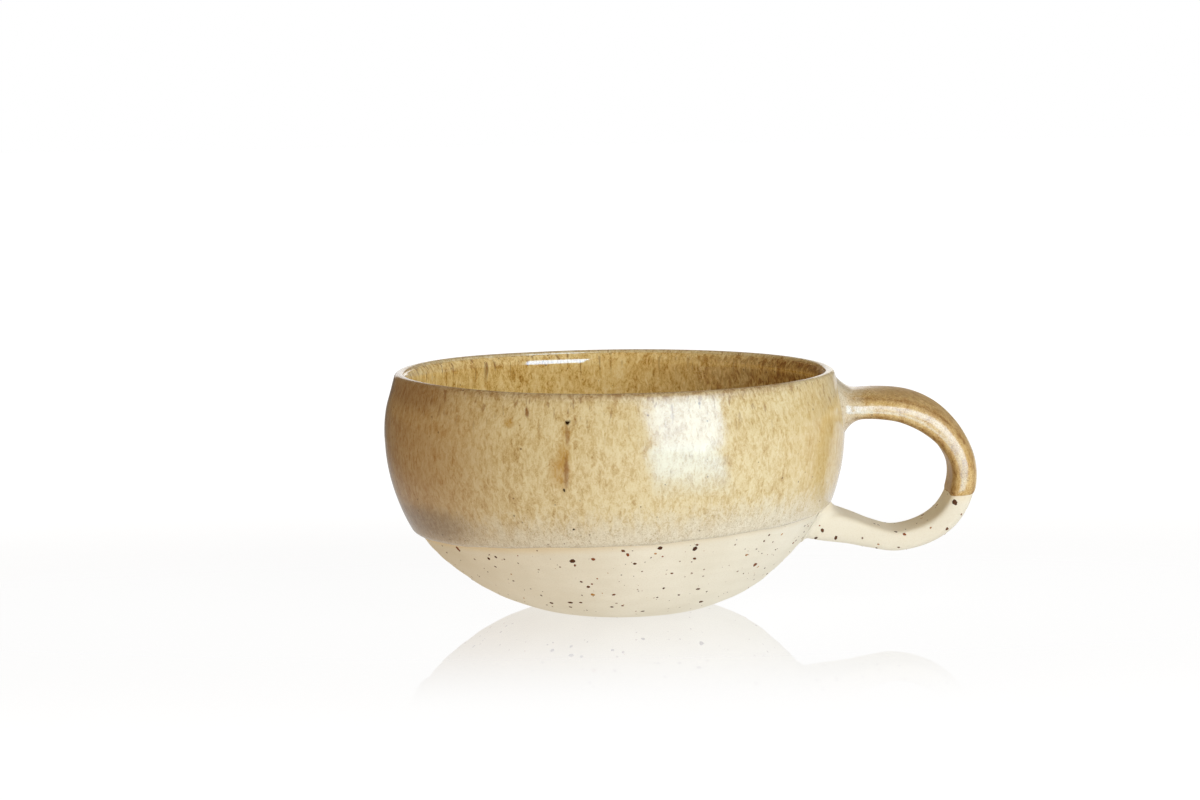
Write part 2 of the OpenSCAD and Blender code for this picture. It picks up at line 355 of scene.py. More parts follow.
class Shader:
    """A node tree, with a short call for each kind of node that is used here."""

    def __init__(self, owner, output="OutputMaterial"):
        owner.use_nodes = True
        self.owner = owner
        self.tree = owner.node_tree
        self.tree.nodes.clear()
        self.out = self.new(output)

    def new(self, kind):
        return self.tree.nodes.new("ShaderNode" + kind)

    def feed(self, socket, value):
        if isinstance(value, bpy.types.NodeSocket):
            self.tree.links.new(value, socket)
        else:
            socket.default_value = value

    def node(self, kind, inputs, output=0, **settings):
        made = self.new(kind)
        for name, value in settings.items():
            setattr(made, name, value)
        for socket, value in inputs.items():
            self.feed(made.inputs[socket], value)
        return made.outputs[output]

    def math(self, operation, a, b=0):
        return self.node("Math", {0: a, 1: b}, operation=operation)

    def times(self, *values):
        product = values[0]
        for value in values[1:]:
            product = self.math("MULTIPLY", product, value)
        return product

    def vector(self, operation, inputs, output=0):
        return self.node("VectorMath", inputs, output, operation=operation)

    def stretch(self, vector, factors):
        return self.vector("MULTIPLY", {0: vector, 1: factors})

    def place(self):
        """The point on the object, in millimetres."""
        point = self.node("TexCoord", {}, "Object")
        return self.stretch(point, (1 / MM,) * 3)

    def split(self, vector):
        made = self.new("SeparateXYZ")
        self.feed(made.inputs[0], vector)
        return made.outputs

    def path(self):
        """What kind of ray reaches the surface."""
        return self.new("LightPath").outputs

    def mark(self, name):
        """A value that the mesh holds at its points."""
        return self.node("Attribute", {}, "Fac", attribute_name=name)

    def noise(self, vector, scale, detail=2, roughness=0.5, distortion=0):
        inputs = {"Vector": vector, "Scale": scale, "Detail": detail, "Roughness": roughness}
        inputs["Distortion"] = distortion
        return self.node("TexNoise", inputs, "Fac")

    def wavy(self, place, scale, reach):
        """Points moved about at random, up to half the reach each way."""
        drift = self.node("TexNoise", {"Vector": place, "Scale": scale}, "Color")
        moved = self.vector("MULTIPLY_ADD", {0: drift, 1: (reach,) * 3, 2: (-reach / 2,) * 3})
        return self.vector("ADD", {0: place, 1: moved})

    def ease(self, value, low, high, start=0, end=1):
        """A smooth step of a value from start at low to end at high."""
        inputs = {"Value": value, "From Min": low, "From Max": high, "To Min": start, "To Max": end}
        return self.node("MapRange", inputs, interpolation_type="SMOOTHSTEP")

    def within(self, value, rise, fall):
        """1 between a rise and a fall, 0 outside them. Each has the limits of a smooth step."""
        return self.times(self.ease(value, *rise), self.ease(value, *fall, 1, 0))

    def ramp(self, value, stops):
        made = self.new("ValToRGB")
        while len(made.color_ramp.elements) < len(stops):
            made.color_ramp.elements.new(0.5)
        for element, (at, *colour) in zip(made.color_ramp.elements, stops):
            element.position = at
            element.color = srgb(*colour)
        self.feed(made.inputs[0], value)
        return made.outputs[0]

    def mix(self, factor, a, b):
        made = self.new("Mix")
        made.data_type = "RGBA"
        for socket, value in zip((0, 6, 7), (factor, a, b)):
            self.feed(made.inputs[socket], value)
        return made.outputs[2]

    def either(self, factor, a, b):
        """One surface where the factor is 0, and another where it is 1."""
        return self.node("MixShader", {0: factor, 1: a, 2: b})

    def blot(self, place, x, height, width, length):
        """1 at a place on the front, fading out half a width beside it and half a length above."""
        scale = (2 / width, 0.5 / BELLY_R, 2 / length)
        middle = (x * scale[0], -0.5, (height + LIFT) * scale[2])
        away = self.vector("DISTANCE", {0: self.stretch(place, scale), 1: middle}, "Value")
        return self.ease(away, 0.3, 1, 1, 0)

    def specks(self, place, scale, rarest, size):
        """1 in small round specks of mixed sizes, one in some of the cells that fill space."""
        cells = self.new("TexVoronoi")
        self.feed(cells.inputs["Vector"], place)
        self.feed(cells.inputs["Scale"], scale)
        chance = self.split(cells.outputs["Color"])[0]
        reach = self.ease(chance, rarest, 1, 0, size)
        return self.math("LESS_THAN", cells.outputs["Distance"], reach)

    def bump(self, height, depth, strength):
        inputs = {"Height": height, "Distance": depth * MM, "Strength": strength}
        return self.node("Bump", inputs)

    def weighed(self, pairs):
        """The sum of values, each times its weight."""
        total = None
        for value, weight in pairs:
            share = self.times(value, weight)
            total = share if total is None else self.math("ADD", total, share)
        return total

    def finish(self, **inputs):
        """Ends the tree in one surface, whose sockets take constants or what the nodes give."""
        shader = self.new("BsdfPrincipled")
        for name, value in inputs.items():
            self.feed(shader.inputs[name.replace("_", " ")], value)
        self.tree.links.new(shader.outputs[0], self.out.inputs[0])
        return self.owner


CLAY_DIM = srgb(226, 220, 201)
CLAY_PALE = srgb(234, 229, 212)
CLAY_GRAIN = srgb(206, 192, 164)
CLAY_BLUSH = srgb(230, 206, 156)
CLAY_SPECK = srgb(116, 78, 44)


def clay():
    """Bare fired clay: matt cream, finely grained, trimmed in rings, with tiny iron specks."""
    s = Shader(bpy.data.materials.new("bare_clay"))
    place = s.place()
    cloud = s.noise(place, scale=0.07, detail=3)
    grain = s.noise(place, scale=3, detail=3, roughness=0.7)
    colour = s.mix(s.ease(cloud, 0.3, 0.7), CLAY_DIM, CLAY_PALE)
    colour = s.mix(s.ease(grain, 0.45, 0.8, 0, 0.35), colour, CLAY_GRAIN)
    below = s.vector("DOT_PRODUCT", {0: place, 1: (DIP_SLOPE, 0, -1)}, "Value")
    near_dip = s.ease(s.math("ADD", below, DIP_Z + LIFT), 2, 0)
    blush = s.ease(s.split(place)[0], -40, 30, 0.55, 0.2)
    colour = s.mix(s.times(near_dip, blush), colour, CLAY_BLUSH)
    speck = s.specks(place, scale=0.42, rarest=0.45, size=0.13)
    colour = s.mix(s.times(speck, 0.75), colour, CLAY_SPECK)
    rings = s.noise(s.stretch(place, (0.02, 0.02, 1)), scale=1.3)
    relief = s.weighed([(rings, 0.7), (grain, 0.5)])
    return s.finish(Base_Color=colour, Roughness=s.ease(grain, 0.3, 0.7, 0.72, 0.9),
                    Normal=s.bump(relief, depth=0.06, strength=0.6), Specular_IOR_Level=0.35)


# Marks in the front of the outside glaze: x, height, width, length, colour and strength of each
RUN_BROWN = srgb(126, 78, 28)
OCHRE = srgb(180, 138, 54)
PALE_OCHRE = srgb(202, 168, 92)
# Browns of painted shade on the left side of the outside glaze
PAINTED_SHADE_TAN = srgb(164, 112, 52)
PAINTED_LIP_SHADE = srgb(136, 92, 44)
PAINTED_BAND_SHADE = srgb(132, 110, 78)
GLAZE_MARKS = [
    # The first three are painted shade on the left side: over the glaze, under the lip and in the milky
    # band
    (-54, 36, 70, 80, PAINTED_SHADE_TAN, 0.6),
    (-45, 51, 26, 11, PAINTED_LIP_SHADE, 0.6),
    (-42, 22, 30, 12, PAINTED_BAND_SHADE, 0.75),
    (52, 38, 40, 56, PALE_OCHRE, 0.55),
    (-10.2, 44.6, 2.6, 6, OCHRE, 0.6),
    (-10.9, 39.6, 4.2, 9, OCHRE, 0.7),
    (-11.8, 36.2, 6.4, 9, OCHRE, 0.75),
    (-10.1, 44.4, 1.1, 6, RUN_BROWN, 0.65),
    (-10.4, 36.6, 1.5, 10, RUN_BROWN, 0.7),
    (-18.7, 49, 1.3, 3.4, RUN_BROWN, 0.9),
    (-22.6, 46.5, 3.2, 3.2, OCHRE, 0.7)]
# Pinholes in it: x, height, width and length of each
PINHOLES = [(-9.9, 47, 1.3, 1.5), (-10.9, 32.5, 0.8, 1.1), (-9, 23.7, 0.8, 0.8)]
HOLE_BROWN = srgb(38, 22, 10)
PIN_BROWN = srgb(92, 66, 34)
# Brown of thin glaze, also used for painted shade
THIN_AND_SHADE_BROWN = srgb(124, 82, 38)
# The glaze's colours from its darkest strokes to its palest, as (tone, red, green, blue): on the
# outside, on the strap, inside, and in the milky band above the dip line
HONEY = [(0.34, 160, 128, 72), (0.43, 198, 174, 122), (0.52, 217, 202, 157), (0.66, 229, 219, 182)]
AMBER = [(0.34, 144, 102, 44), (0.43, 188, 150, 84), (0.52, 211, 182, 120), (0.66, 230, 208, 158)]
RUSSET = [(0.36, 148, 104, 42), (0.44, 204, 166, 90), (0.52, 232, 206, 138), (0.64, 248, 232, 176)]
MILKY = [(0.34, 176, 164, 136), (0.47, 210, 203, 182), (0.62, 226, 221, 206)]
# Distance above the dip line, or along the strap, over which the milky band fades out
MILKY_FADE = (1.5, 11)


def glaze(name, tones, pale_band=0, marks=(), holes=(), runs=0, run_scale=1.1, grainy=0.18,
          rough=(0.09, 0.16), relief_depth=0.08, ior=1.65):
    """Satin honey glaze: cream with fine brown grains and strokes, brown and dry where it is thin and
    where shade is painted in.
    """
    s = Shader(bpy.data.materials.new(name))
    place = s.place()
    flow = s.stretch(place, (1, 1, 0.5))
    patch = s.noise(flow, scale=0.07, detail=3, roughness=0.55)
    streak = s.noise(flow, scale=0.5, detail=3, roughness=0.6, distortion=0.5)
    stroke = s.noise(flow, scale=1.2, detail=3, roughness=0.6, distortion=1)
    grain = s.noise(place, scale=3.4, roughness=0.6)
    wavy = s.wavy(place, scale=0.9, reach=0.9)
    tone = s.weighed([(patch, 0.12), (streak, 0.30), (stroke, 0.58 - grainy), (grain, grainy)])
    colour = s.ramp(tone, tones)
    if pale_band:
        fade = s.math("ADD", s.mark("above_line"), s.ease(streak, 0.3, 0.7, 1.5, -1.5))
        band = s.ramp(s.weighed([(grain, 0.6), (stroke, 0.4)]), MILKY)
        colour = s.mix(s.ease(fade, *MILKY_FADE, pale_band, 0), colour, band)
    for x, height, width, length, tint, strength in marks:
        spread = s.ease(stroke, 0.3, 0.7, strength, 0.7 * strength)
        colour = s.mix(s.times(s.blot(wavy, x, height, width, length), spread), colour, tint)
    if runs:
        drip = s.noise(s.stretch(place, (1, 1, 0.1)), scale=run_scale)
        run = s.times(s.ease(drip, 0.60, 0.68, 0, runs), s.mark("lip"))
        colour = s.mix(run, colour, RUN_BROWN)
    # Thin glaze and, on the strap and the lining, painted shade: both make the glaze brown and dry
    thin_and_shade = s.mark("thin_and_shade")
    colour = s.mix(s.times(thin_and_shade, s.ease(stroke, 0.3, 0.65, 1, 0.4)), colour, THIN_AND_SHADE_BROWN)
    pin = s.specks(place, scale=0.55, rarest=0.62, size=0.15)
    colour = s.mix(s.times(pin, 0.6), colour, PIN_BROWN)
    shine = s.math("SUBTRACT", 0.5, s.times(thin_and_shade, 0.4))
    for hole in holes:
        open_hole = s.blot(wavy, *hole)
        colour = s.mix(open_hole, colour, HOLE_BROWN)
        shine = s.math("SUBTRACT", shine, s.times(open_hole, 0.5))
    roughness = s.math("ADD", s.ease(grain, 0.3, 0.7, *rough), s.times(thin_and_shade, 0.5))
    relief = s.weighed([(streak, 1), (grain, 0.35)])
    return s.finish(Base_Color=colour, Roughness=roughness, IOR=ior, Specular_IOR_Level=shine,
                    Normal=s.bump(relief, relief_depth, strength=0.3))


IRON_BROWNS = [(0, 70, 40, 20), (0.55, 96, 58, 30), (0.85, 138, 76, 40), (1, 184, 138, 70)]


def iron():
    """Melted iron in the clay: each speck has its own brown."""
    s = Shader(bpy.data.materials.new("iron_speck"))
    colour = s.ramp(s.node("NewGeometry", {}, "Random Per Island"), IRON_BROWNS)
    grain = s.noise(s.place(), scale=6)
    return s.finish(Base_Color=colour, Roughness=s.ease(grain, 0.3, 0.7, 0.7, 0.9),
                    Specular_IOR_Level=0.2)


# The clay bowl and the glaze on it

# Depth and pitch of the faint rings that fingers and tools leave, and the radii where they start
GROOVE_DEPTH = 0.035
GROOVE_PITCH = 2.7
GROOVE_START = (24, 32)
# Where the coat over the lip meets the lining, from the lip's crest on, how far each goes on under
# the other, how far before their meeting it starts to sink, and how deep
MEETING = 0.9
LAP = 0.7
LAP_SOFT = 0.4
LAP_DEPTH = 0.6
# How thin the glaze is on the lip, as a share, and the distances from its crest where it thickens
LIP_THIN = 0.55
LIP_THICKENS = (3.5, 9)
# How much less dry the lip is at its left and right ends, and where that comes in
WORN_LESS = 0.95
WORN_ENDS = (34, 46)
# Waves of the dip line: height, count around the bowl and turn of each
DIP_WAVES = [(0.20, 3, 1), (0.13, 7, 2.2), (0.07, 19, 0)]
# How much thicker the coat is at the dip line, over which distance, and how far its edge is rolled
PUDDLE = 0.7
PUDDLE_REACH = 8
ROLL_LENGTH = 1.8
# Stretches of a glaze that have closer rings: from its edge on, and on the lip
EDGE_STRETCH = 5
LIP_STRETCH = 3
# Rings of the coat by its edge, on the wall and on the lip, and of the lining by its edge and below
COAT_RINGS = (22, 90, 40)
LINING_RINGS = (50, 110)
# Height and size of the bumps in a glaze on the bowl
BUMP_H = 0.05
BUMP_SIZE = 5
# Distance along the lining to a paler band of painted highlight where the wall turns under the lip, and
# its width
HIGHLIGHT_BAND_AT = 3.4
HIGHLIGHT_BAND_W = 0.6


def make_bowl(material):
    groove = GROOVE_DEPTH * np.sin(2 * np.pi * OUTSIDE[:, 1] / GROOVE_PITCH)
    groove = groove * smooth(OUTSIDE[:, 0], *GROOVE_START)
    outside = OUTSIDE - left_normals(OUTSIDE) * groove[:, None]
    line = np.concatenate([outside[::OUTSIDE_SKIP], INSIDE[INSIDE_SKIP::INSIDE_SKIP], [[0, FLOOR_T]]])
    rings = spun(line[:, None], angles(BOWL_SIDES))
    piece("bowl_clay", rings, material, "bowl")


def skin_of(line, at, thick):
    """Points off a line of [radius, height] at distances along it, thick away on its right."""
    along = lengths_along(line)
    return followed(at, along, line) - followed(at, along, left_normals(line)) * thick[..., None]


def edge_roll(distance, length):
    """How full a glaze is near its edge, from 0 at the edge to 1 past the rolled length."""
    return np.sqrt(1 - (1 - np.clip(distance / length, 0, 1)) ** 2)


def lip_thickness(past_crest):
    """Thickness of the glaze over the lip, by the distance past its crest."""
    return GLAZE_T * (LIP_THIN + (1 - LIP_THIN) * smooth(np.abs(past_crest), *LIP_THICKENS))


def worn(points):
    """How dry the lip is: 1 along its front and back, less at its left and right ends."""
    return 1 - WORN_LESS * smooth(np.abs(points[..., 0]), *WORN_ENDS)


def rise(count, power=1):
    """A column of shares from 0 to 1."""
    return np.linspace(0, 1, count)[:, None] ** power


def glaze_faces(line, at, thick, bumpy, seed):
    """The shown face of a glaze on the bowl, uneven by a share, and its hidden face."""
    turn = angles(GLAZE_SIDES)
    bumps = BUMP_H * uneven(spun(skin_of(line, at, thick), turn), BUMP_SIZE, seed)
    outer = spun(skin_of(line, at, thick + bumps * bumpy), turn)
    return outer, spun(skin_of(line, at, np.full_like(at, -BOWL_BITE)), turn)


def make_outside_glaze(material):
    """The dipped coat, from its rolled lower edge up and over the crest of the lip."""
    turn = angles(GLAZE_SIDES)
    over = MEETING + LAP
    line = np.concatenate([OUTSIDE, INSIDE[1:int(over / LINE_STEP) + 3]])
    along = lengths_along(line)[:len(OUTSIDE)]
    crest = along[-1]
    wave = sum(size * np.sin(count * turn + start) for size, count, start in DIP_WAVES)
    height = np.full_like(turn, DIP_Z)
    for _ in range(4):
        height = DIP_Z + DIP_SLOPE * radius_at(height) * np.cos(turn) + wave
    edge = np.interp(height, OUTSIDE[:, 1], along)
    lip_start = crest - LIP_STRETCH - edge
    near = rise(COAT_RINGS[0], 1.5) * EDGE_STRETCH + 0 * edge
    far = EDGE_STRETCH + rise(COAT_RINGS[1])[1:] * (lip_start - EDGE_STRETCH)
    last = lip_start + rise(COAT_RINGS[2])[1:] * (LIP_STRETCH + over)
    away = np.concatenate([near, far, last])
    at = edge + away
    puddle = 1 + PUDDLE * np.exp(-away / PUDDLE_REACH)
    thick = lip_thickness(at - crest) * puddle * edge_roll(away, ROLL_LENGTH)
    thick = thick - LAP_DEPTH * smooth(at, crest + MEETING - LAP_SOFT, crest + over)
    bumpy = smooth(away, 1, 6) * smooth(crest - at, 0, 6)
    outer, inner = glaze_faces(line, at, thick, bumpy, 3)
    dry_lip = np.exp(-((at - crest) / np.where(at > crest, 0.5, 1.7)) ** 2)
    thin_and_shade = 0.8 * dry_lip * worn(outer) + 0.9 * np.exp(-away / 0.35)
    marks = {"above_line": away, "thin_and_shade": thin_and_shade, "lip": 1 - smooth(crest - at, 2, 13)}
    coat("outside_glaze_coat", outer, inner, HIDDEN_STEP, material, "outside_glaze", marks)


def make_inside_glaze(material):
    """The poured lining, from under the coat on the lip down to the middle of the floor."""
    start = MEETING - LAP
    end = lengths_along(INSIDE)[-1]
    near = np.linspace(start, EDGE_STRETCH, LINING_RINGS[0])
    far = np.linspace(EDGE_STRETCH, end, LINING_RINGS[1])
    at = np.concatenate([near, far[1:]])[:, None] + np.zeros(GLAZE_SIDES)
    thick = lip_thickness(at) - LAP_DEPTH * smooth(-at, -MEETING - LAP_SOFT, -start)
    outer, inner = glaze_faces(INSIDE, at, thick, smooth(at, 5, 12), 8)
    x = outer[..., 0]
    highlight_band = np.exp(-((at - HIGHLIGHT_BAND_AT) / HIGHLIGHT_BAND_W) ** 2)
    dry_lip = np.exp(-(at / 0.5) ** 2)
    # Painted shade darkens the lining to the right, less in the band of painted highlight; thin glaze
    # browns the lip
    thin_and_shade = 0.6 * dry_lip * worn(outer) + 0.95 * smooth(x, 0, 46) * (1 - 0.6 * highlight_band)
    lip = (1 - smooth(at, 3, 8)) * (1 - 0.5 * smooth(x, -20, 10))
    marks = {"thin_and_shade": thin_and_shade, "lip": lip}
    coat("inside_glaze_lining", outer, inner, HIDDEN_STEP, material, "inside_glaze", marks)


# The strap handle: its middle line as [x, z], and its sizes along it as [share of length, size]

STRAP_KNOTS = [
    (47, 44.2), (53.5, 44.1), (60, 44), (66, 42.95), (71.6, 40.3), (76, 36.2),
    (78.75, 30.6), (78.4, 24.2), (75.2, 18.6), (70, 15.15), (63.6, 13.7), (58, 14.7),
    (53, 16.2), (47.7, 17.5), (43, 18.8)]
STRAP_STEP = 0.4
STRAP_HALF_T = [
    (0, 2.3), (0.12, 2.1), (0.2, 2.2), (0.28, 2.5), (0.42, 2.25), (0.52, 2.4), (0.6, 2.35),
    (0.75, 2.2), (0.82, 2.45), (0.88, 2.95), (0.94, 3.4), (1, 3.9)]
STRAP_HALF_W = [
    (0, 9.6), (0.08, 8.2), (0.24, 7.2), (0.5, 7.1), (0.82, 7), (0.9, 8.2), (0.95, 9.4),
    (1, 10.4)]
# How far the outer face is crowned in its middle
STRAP_CROWN = [
    (0, 0.8), (0.12, 0.9), (0.24, 1.1), (0.3, 1), (0.37, 0.75), (0.45, 0.6), (0.55, 0.5),
    (1, 0.45)]
# How much higher its back edge is
STRAP_TILT = [
    (0, 0.5), (0.1, 0.8), (0.18, 1.2), (0.24, 1.55), (0.3, 1.1), (0.37, 0.5), (0.45, 0.3),
    (0.6, 0), (1, 0)]
# How flat the strap's sides and its broad faces are: 2 is an oval, and more is flatter
SIDE_POWER = 6
FACE_POWER = 12
# How far the sides bulge, and how much wider the inner face is, as shares of the half width
SIDE_BULGE = 0.07
SIDE_LEAN = 0.05
TYPICAL_HALF_SIZES = (2.5, 7.1)
# Fillets down to the bowl: on the outer face, the inner face and the sides
UPPER_FILLET = (4.4, 5.4, 2.8)
LOWER_FILLET = (0.9, 5, 1.8)
FILLET_RINGS = 12
# How deep a fillet's first ring lies in the bowl, and how much lower the others are set
FILLET_ROOT = 0.4
FILLET_BITE = 0.02


def seated(points, way, gap, rounds=14):
    """Points moved along a direction until they lie a gap away from the bowl's surface."""
    for _ in range(rounds):
        points = points - way * (bowl_gap(points) - gap)[:, None]
    return points


def strap_section():
    """Points around a strap as shares of its half sizes, and the way each faces."""
    turn = np.linspace(0, 2 * np.pi, 4001)
    across = np.sign(np.cos(turn)) * np.abs(np.cos(turn)) ** (2 / SIDE_POWER)
    beside = np.sign(np.sin(turn)) * np.abs(np.sin(turn)) ** (2 / FACE_POWER)
    size = np.array(TYPICAL_HALF_SIZES)
    loop = np.stack([across, beside], -1) * size
    even = spaced(loop, lengths_along(loop)[-1] / STRAP_SIDES)[:-1]
    along = np.roll(even, -1, 0) - np.roll(even, 1, 0)
    return even / size, units(np.stack([along[:, 1], -along[:, 0]], -1))


class Strap:
    """The clay strap's surface as rings of points, with its fillets down to the bowl."""

    def __init__(self):
        self.line = spline(STRAP_KNOTS, STRAP_STEP)
        self.normal = left_normals(self.line)
        self.share = lengths_along(self.line) / lengths_along(self.line)[-1]
        section, self.lean = strap_section()
        sizes = (STRAP_HALF_T, STRAP_HALF_W, STRAP_CROWN, STRAP_TILT)
        half_t, half_w, crown, tilt = (self.sized(stops)[:, None] for stops in sizes)
        a, b = section.T
        across = half_t * a + np.maximum(a, 0) * (crown * (1 - b ** 2) + tilt * (1 + b) / 2)
        beside = half_w * b * (1 + SIDE_BULGE * (1 - a ** 2) - SIDE_LEAN * a)
        self.rings = self.lifted(across, beside)
        edge = blurred(np.abs(self.lean[:, 0] * self.lean[:, 1]), count=9, ends="wrap")
        self.corner = edge / edge.max()
        upper, first = self.fillet(1, UPPER_FILLET)
        lower, last = self.fillet(-1, LOWER_FILLET)
        body = self.between(first, len(self.rings) - 1 - last)
        self.surface = np.concatenate([upper, body[1:-1], lower[::-1]])

    def sized(self, stops):
        """A size that follows stops [share, size] along the strap, without corners."""
        return blurred(np.interp(self.share, *zip(*stops)), count=41, ends="edge")

    def lifted(self, across, beside):
        """Points across the strap's thickness and beside its middle, in space."""
        x = self.line[:, :1] + self.normal[:, :1] * across
        z = self.line[:, 1:] + self.normal[:, 1:] * across
        return np.stack([x, beside + 0 * x, z], -1)

    def fillet(self, step, sizes):
        """Rings from the bowl's surface to the strap's side, and where along the strap they end.

        The step is 1 at the strap's upper end and -1 at its lower one.
        """
        order, line, normal = self.rings[::step], self.line[::step], self.normal[::step]
        outer, beside = self.lean.T
        size = np.where(outer > 0, sizes[0], sizes[1]) * outer ** 2 + sizes[2] * beside ** 2
        size = blurred(size, count=13, ends="wrap")
        start = np.argmax(bowl_gap(order) > size, axis=0)
        foot = order[start, np.arange(STRAP_SIDES)]
        pick = int(np.median(start))
        ahead = line[pick + 4] - line[pick]
        axis = units(np.array([ahead[0], 0, ahead[1]]))
        out = np.stack([normal[pick, 0] * outer, beside, normal[pick, 1] * outer], -1)
        rows = []
        for bend in np.radians(np.r_[90, np.linspace(90, 0, FILLET_RINGS)]):
            row = foot + out * (size * (1 - np.cos(bend)))[:, None]
            bite = FILLET_BITE if rows else FILLET_ROOT
            rows.append(seated(row, axis, size * (1 - np.sin(bend)) - bite))
        return np.array(rows), start

    def between(self, first, final):
        """Rings of the strap between its two fillets, starting and ending on their last rings."""
        count = len(self.rings)
        at = first + (final - first) * rise(count)
        low = np.clip(at.astype(int), 0, count - 2)
        part = (at - low)[..., None]
        side = np.arange(STRAP_SIDES)
        return self.rings[low, side] * (1 - part) + self.rings[low + 1, side] * part

    def capped(self):
        """All the rings, closed by a point at each end inside the bowl's wall."""
        middles = self.surface.mean(1, keepdims=True) + np.zeros_like(self.surface)
        return np.concatenate([middles[:1], self.surface, middles[-1:]])

    def facing(self):
        """Unit normals of the rings, away from the strap's middle."""
        along = np.gradient(self.surface, axis=0)
        around = np.roll(self.surface, -1, 1) - np.roll(self.surface, 1, 1)
        normal = np.cross(along, around)
        normal /= np.linalg.norm(normal, axis=-1, keepdims=True) + 1e-12
        middle = self.surface.mean(1, keepdims=True)
        halfway = len(normal) // 2
        outward = ((self.surface - middle) * normal).sum(-1)[halfway].mean()
        return normal * np.sign(outward)


# Thickness of the strap's glaze, the share that it lacks on a corner, the share that it has at the
# bowl, and how far its edge is rolled
STRAP_GLAZE_T = 0.38
CORNER_THIN = 0.35
STRAP_GLAZE_START = 0.35
STRAP_ROLL = 1.4
# How far above the bowl's dip line the strap's lies, and the height of its waves
STRAP_DIP_RISE = 0.4
STRAP_DIP_WAVE = 0.15
# Stretch of the coat above its lower edge that has rings of its own
STRAP_EDGE = 3
STRAP_EDGE_RINGS = 18
STRAP_GLAZE_RINGS = 150


def make_handle_glaze(strap, material):
    """The dipped coat on the strap, from the bowl's glaze to its own dip line."""
    points, normals = strap.surface[1:], strap.facing()[1:]
    steps = np.linalg.norm(np.diff(points, axis=0), axis=-1)
    lengths = np.concatenate([np.zeros((1, STRAP_SIDES)), np.cumsum(steps, 0)])
    over = above_dip(points) - STRAP_DIP_RISE + STRAP_DIP_WAVE * np.sin(3 * angles(STRAP_SIDES))
    columns = []
    for k in range(STRAP_SIDES):
        along = lengths[:, k]
        cut = np.argmax(over[:, k] < 0)
        share = over[cut - 1, k] / (over[cut - 1, k] - over[cut, k])
        end = along[cut - 1] + share * (along[cut] - along[cut - 1])
        far = np.linspace(1, 0, STRAP_GLAZE_RINGS)[:-1] * (end - STRAP_EDGE) + STRAP_EDGE
        near = STRAP_EDGE * np.linspace(1, 0, STRAP_EDGE_RINGS) ** 1.5
        away = np.concatenate([far, near])
        at = end - away
        spot = followed(at, along, points[:, k])
        face = units(followed(at, along, normals[:, k]))
        thick = STRAP_GLAZE_T * (1 - CORNER_THIN * strap.corner[k]) * edge_roll(away, STRAP_ROLL)
        thick = thick * (STRAP_GLAZE_START + (1 - STRAP_GLAZE_START) * smooth(at, 0, 4))
        columns.append((spot, face, thick, away, at))
    spot, face, thick, away, at = (np.stack(parts, 1) for parts in zip(*columns))
    x, _, z = np.moveaxis(spot, -1, 0)
    bumps = 0.03 * uneven(spot, 4, 5) * smooth(away, 0.5, 4)
    outer = spot + face * (thick + bumps)[..., None]
    inner = spot - face * BITE
    upward = strap.lean[:, 0]
    # Painted shade: the strap's top face by the bend and the faces inside its loop are browned like thin
    # glaze
    top = smooth(upward, 0.5, 0.9) * smooth(x, 54, 64) * smooth(z, 30, 40)
    under = smooth(-upward, 0.02, 0.5) * smooth(x, 52, 62)
    thin_and_shade = 0.6 * strap.corner ** 3 * smooth(x, 50, 56) + 0.5 * np.exp(-away / 0.3)
    thin_and_shade = np.minimum(thin_and_shade + 0.5 * top + 0.6 * under, 0.9)
    marks = {"above_line": at, "thin_and_shade": thin_and_shade}
    coat("handle_glaze_coat", outer, inner, 1, material, "handle_glaze", marks)


# Rings of a layer of slip: shares of the strap's end that it reaches, and of its thickness
SLIP_RINGS = ((0, -0.5), (0.6, -0.5), (1, -0.3), (1, 0), (0.97, 0.6), (0.9, 1), (0.6, 1),
              (0, 1))
# The way from the bowl to the strap's upper and lower end
UPPER_WAY = np.array([1, 0, 0])
LOWER_WAY = np.array([0.8, 0, -0.6])


def make_slip(name, ring, way, spread, thick, node, material):
    """The layer of slip under one end of the strap, squeezed out a little around it."""
    middle = ring.mean(0)
    away = ring - middle
    length = np.linalg.norm(away, axis=1, keepdims=True)
    rows = []
    for reach, lift in SLIP_RINGS:
        row = middle + away / length * (length + spread) * reach
        rows.append(seated(row, way, thick * lift))
    piece(name, np.array(rows), material, node)


# Iron specks in the bare clay

